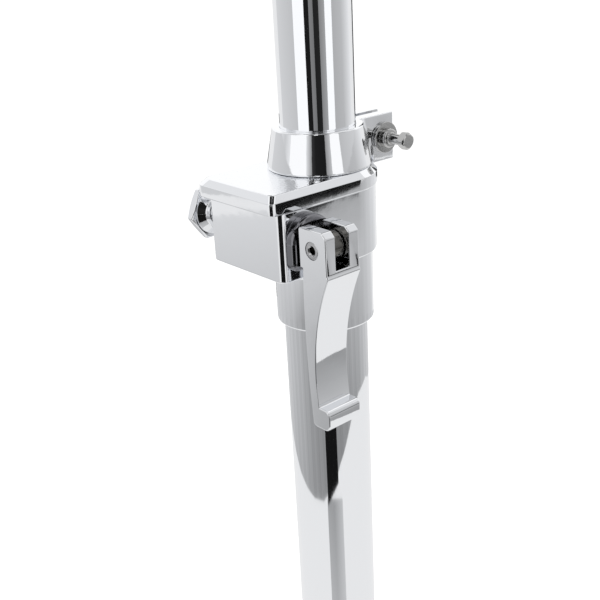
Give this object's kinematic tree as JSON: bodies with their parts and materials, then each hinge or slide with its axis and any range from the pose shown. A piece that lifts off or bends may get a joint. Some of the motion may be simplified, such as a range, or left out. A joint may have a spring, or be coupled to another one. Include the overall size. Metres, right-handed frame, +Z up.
{
  "type": "cymbal stand",
  "caption": "Straight chrome cymbal stand with a folding double-braced tripod, a lever clamp with a memory lock, telescopic tubes and a tilter",
  "frame": {"origin": "on the floor, in the middle of the box round the spread legs; the tubes stand 92.1 mm towards -X from it", "axes": "+Z up along the tubes; one leg points along +X; the clamp lever faces -Y and the clamp block points to -X"},
  "size_m": [0.5934, 0.6854, 1.305],
  "materials": {
    "chrome": "polished chrome plate on steel and die-cast zinc",
    "bolt_steel": "bright zinc-plated steel fasteners",
    "rubber": "matt black rubber",
    "black_nylon": "black nylon bush",
    "sleeve_plastic": "black nylon sleeve",
    "felt": "pressed wool felt",
    "shoe_metal": "dark plated steel"
  },
  "bodies": {
    "base_tube": {"lower_tube": "chrome", "tube_plug": "rubber", "leg_hub": "chrome", "hub_pins": "bolt_steel", "clamp_sleeve": "chrome", "clamp_block": "chrome", "clamp_shoes": "shoe_metal", "top_plate": "chrome", "guide_bush": "black_nylon", "cam_saddle": "shoe_metal"},
    "bolt": {"cross_bolt": "bolt_steel", "lever_pin": "bolt_steel"},
    "lever": {"clamp_lever": "chrome"},
    "clamp_nut": {"hand_nut": "chrome", "nut_washer": "bolt_steel"},
    "collar": {"leg_collar": "chrome", "collar_bush": "black_nylon", "collar_pins": "bolt_steel"},
    "collar_screw": {"collar_wing_screw": "chrome"},
    "upper": {"upper_tube": "chrome", "memory_lock": "chrome", "key_washer": "bolt_steel", "key_nut": "bolt_steel", "upper_socket": "chrome", "socket_bush": "black_nylon", "socket_nut": "bolt_steel"},
    "lock_key": {"key_bolt": "bolt_steel"},
    "socket_screw": {"socket_wing_bolt": "chrome"},
    "top_lock": {"second_lock": "chrome", "second_key_nut": "bolt_steel"},
    "top_lock_key": {"second_key_bolt": "bolt_steel"},
    "top": {"top_tube": "chrome", "tilter_base": "chrome", "tilter_bolt": "bolt_steel"},
    "tilt_nut": {"tilter_wing_nut": "chrome"},
    "tilt_head": {"tilter_head": "chrome", "cymbal_rod": "chrome", "cup_washer": "chrome", "cymbal_sleeve": "sleeve_plastic", "lower_felt": "felt", "upper_felt": "felt", "top_washer": "bolt_steel"},
    "rod_nut": {"top_wing_nut": "chrome"},
    "brace_1": {"brace_links_1": "chrome"},
    "leg_1": {"leg_bars_1": "chrome", "leg_rivets_1": "bolt_steel", "rubber_foot_1": "rubber"},
    "brace_2": {"brace_links_2": "chrome"},
    "leg_2": {"leg_bars_2": "chrome", "leg_rivets_2": "bolt_steel", "rubber_foot_2": "rubber"},
    "brace_3": {"brace_links_3": "chrome"},
    "leg_3": {"leg_bars_3": "chrome", "leg_rivets_3": "bolt_steel", "rubber_foot_3": "rubber"}
  },
  "joints": [
    {"name": "brace_1_fold", "type": "hinge", "parent": "base_tube", "child": "brace_1", "pos_m": [-0.0571, 0, 0.03677], "axis": [0, -1, 0], "range_deg": [-10, 42]},
    {"name": "leg_1_fold", "type": "hinge", "parent": "brace_1", "child": "leg_1", "pos_m": [0.09896, 0, 0.17728], "axis": [0, -1, 0], "range_deg": [-84, 20]},
    {"name": "brace_2_fold", "type": "hinge", "parent": "base_tube", "child": "brace_2", "pos_m": [-0.1096, 0.03031, 0.03677], "axis": [0.866, 0.5, 0], "range_deg": [-10, 42]},
    {"name": "leg_2_fold", "type": "hinge", "parent": "brace_2", "child": "leg_2", "pos_m": [-0.18763, 0.16546, 0.17728], "axis": [0.866, 0.5, 0], "range_deg": [-84, 20]},
    {"name": "brace_3_fold", "type": "hinge", "parent": "base_tube", "child": "brace_3", "pos_m": [-0.1096, -0.03031, 0.03677], "axis": [-0.866, 0.5, 0], "range_deg": [-10, 42]},
    {"name": "leg_3_fold", "type": "hinge", "parent": "brace_3", "child": "leg_3", "pos_m": [-0.18763, -0.16546, 0.17728], "axis": [-0.866, 0.5, 0], "range_deg": [-84, 20]},
    {"name": "collar_rise", "type": "hinge", "parent": "leg_1", "child": "collar", "pos_m": [-0.0571, 0, 0.3178], "axis": [0, -1, 0], "range_deg": [-10, 42]},
    {"name": "collar_screw_turn", "type": "hinge", "parent": "collar", "child": "collar_screw", "pos_m": [-0.11515, 0, 0.3178], "axis": [-1, 0, 0], "range_deg": [0, 540]},
    {"name": "bolt_travel", "type": "slide", "parent": "base_tube", "child": "bolt", "axis": [0, 1, 0], "range_m": [0, 0.0005]},
    {"name": "lever_turn", "type": "hinge", "parent": "bolt", "child": "lever", "pos_m": [-0.1195, -0.034, 0.5752], "axis": [-1, 0, 0], "range_deg": [0, 95]},
    {"name": "clamp_nut_turn", "type": "hinge", "parent": "bolt", "child": "clamp_nut", "pos_m": [-0.1195, 0.0349, 0.5752], "axis": [0, 1, 0], "range_deg": [-180, 360]},
    {"name": "upper_tube_slide", "type": "slide", "parent": "base_tube", "child": "upper", "axis": [0, 0, 1], "range_m": [0, 0.22]},
    {"name": "lock_key_turn", "type": "hinge", "parent": "upper", "child": "lock_key", "pos_m": [-0.0622, -0.0138, 0.601], "axis": [0, 1, 0], "range_deg": [-360, 0]},
    {"name": "socket_screw_turn", "type": "hinge", "parent": "upper", "child": "socket_screw", "pos_m": [-0.0666, -0.019, 0.9097], "axis": [0, 1, 0], "range_deg": [-540, 0]},
    {"name": "top_tube_swivel", "type": "hinge", "parent": "upper", "child": "top_lock", "pos_m": [-0.0921, 0, 0.918], "axis": [0, 0, 1], "range_deg": [-180, 180]},
    {"name": "top_lock_key_turn", "type": "hinge", "parent": "top_lock", "child": "top_lock_key", "pos_m": [-0.1133, 0.0138, 0.9245], "axis": [0, -1, 0], "range_deg": [-360, 0]},
    {"name": "top_tube_slide", "type": "slide", "parent": "top_lock", "child": "top", "axis": [0, 0, 1], "range_m": [-0.15, 0.14]},
    {"name": "tilt", "type": "hinge", "parent": "top", "child": "tilt_head", "pos_m": [-0.0921, 0, 1.182], "axis": [0, 1, 0], "range_deg": [-80, 80]},
    {"name": "tilt_nut_turn", "type": "hinge", "parent": "top", "child": "tilt_nut", "pos_m": [-0.0921, 0.02, 1.182], "axis": [0, 1, 0], "range_deg": [0, 540]},
    {"name": "rod_nut_turn", "type": "hinge", "parent": "tilt_head", "child": "rod_nut", "pos_m": [-0.0921, 0.00515, 1.2513], "axis": [0, 0, 1], "range_deg": [0, 720]}
  ],
  "couplings": [
    {"joint": "leg_1_fold", "follows": "brace_1_fold", "ratio": -2},
    {"joint": "brace_2_fold", "follows": "brace_1_fold", "ratio": 1},
    {"joint": "leg_2_fold", "follows": "brace_1_fold", "ratio": -2},
    {"joint": "brace_3_fold", "follows": "brace_1_fold", "ratio": 1},
    {"joint": "leg_3_fold", "follows": "brace_1_fold", "ratio": -2},
    {"joint": "collar_rise", "follows": "brace_1_fold", "ratio": 1},
    {"joint": "bolt_travel", "follows": "lever_turn", "m_per_rad": 0.00030156}
  ]
}
